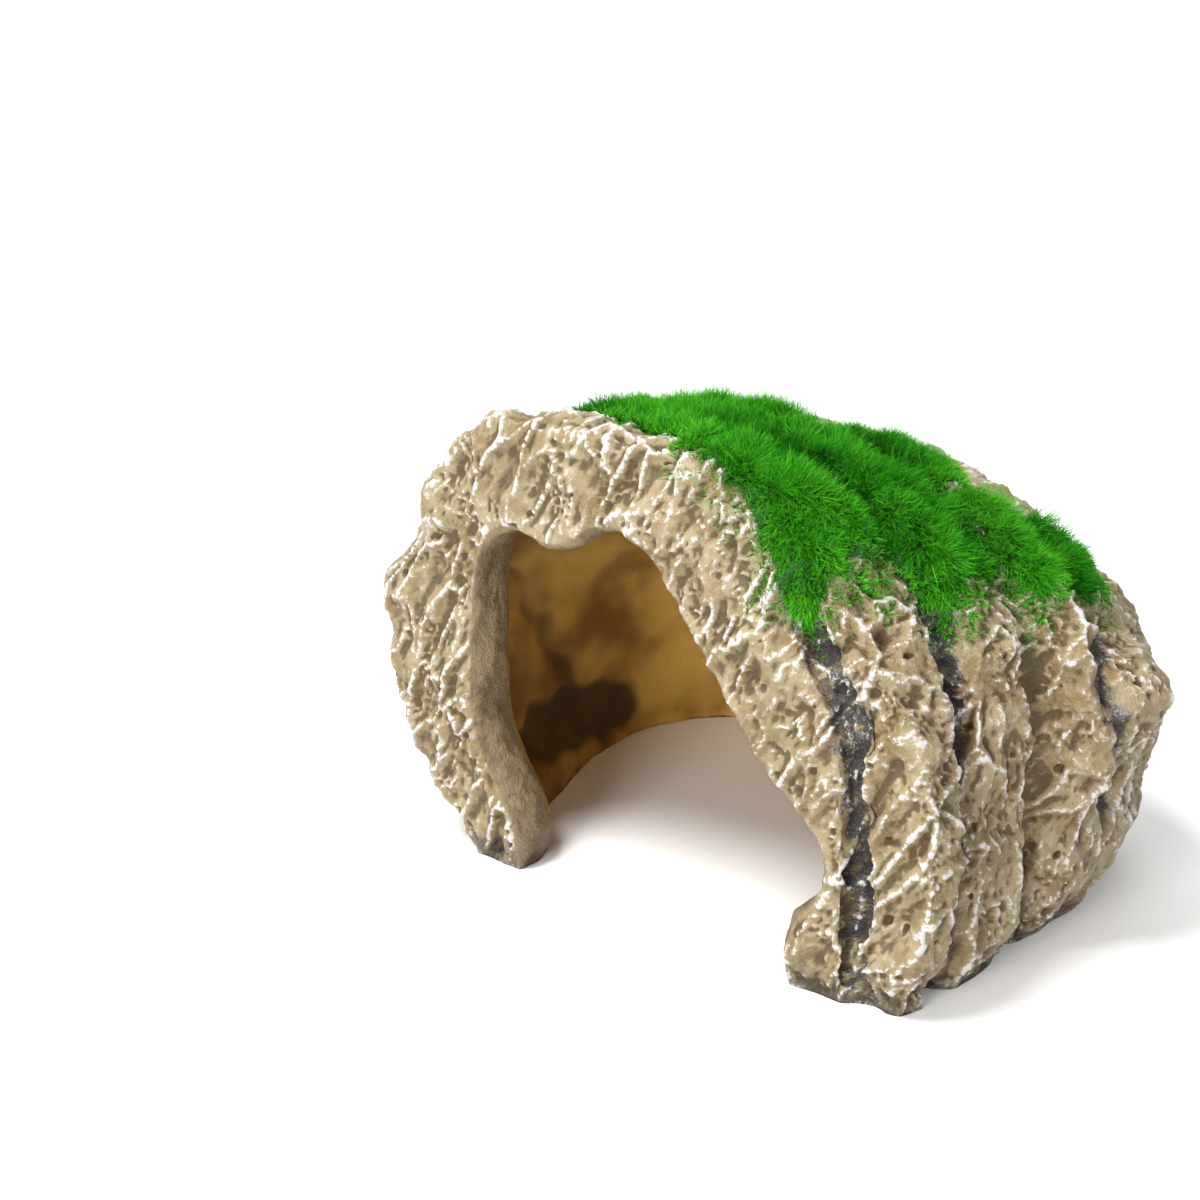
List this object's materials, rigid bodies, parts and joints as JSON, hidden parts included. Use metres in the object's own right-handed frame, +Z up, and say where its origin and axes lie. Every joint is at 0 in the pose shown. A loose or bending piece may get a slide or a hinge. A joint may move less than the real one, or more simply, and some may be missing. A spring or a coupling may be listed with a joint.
{
  "type": "aquarium cave ornament",
  "caption": "Hollow rock-shaped aquarium cave with a wide arched mouth at the front, an open underside and patches of green moss flock glued on its top.",
  "frame": {"origin": "middle of the overall box in X and Y, at the level the rock stands on", "axes": "+Z up; the mouth opens towards -Y; +X runs along the front, to the right as the mouth is faced"},
  "size_m": [0.1348, 0.094, 0.0918],
  "materials": {
    "polyresin": "stone-filled cast resin, painted tan with brown and black washes and white dry-brushed edges, lightly lacquered",
    "flock_adhesive": "dried dark green adhesive film, satin",
    "moss_fibre": "green nylon fibres, 3 to 4 mm long, in several shades"
  },
  "bodies": {
    "root": {"cave_shell": "polyresin", "moss_adhesive_carpet": "flock_adhesive", "moss_flock_carpet": "moss_fibre", "moss_adhesive_rear_left": "flock_adhesive", "moss_flock_rear_left": "moss_fibre", "moss_adhesive_rear_middle": "flock_adhesive", "moss_flock_rear_middle": "moss_fibre", "moss_adhesive_rear_right": "flock_adhesive", "moss_flock_rear_right": "moss_fibre", "moss_adhesive_right_clump": "flock_adhesive", "moss_flock_right_clump": "moss_fibre", "moss_adhesive_left_tuft": "flock_adhesive", "moss_flock_left_tuft": "moss_fibre"}
  },
  "joints": []
}
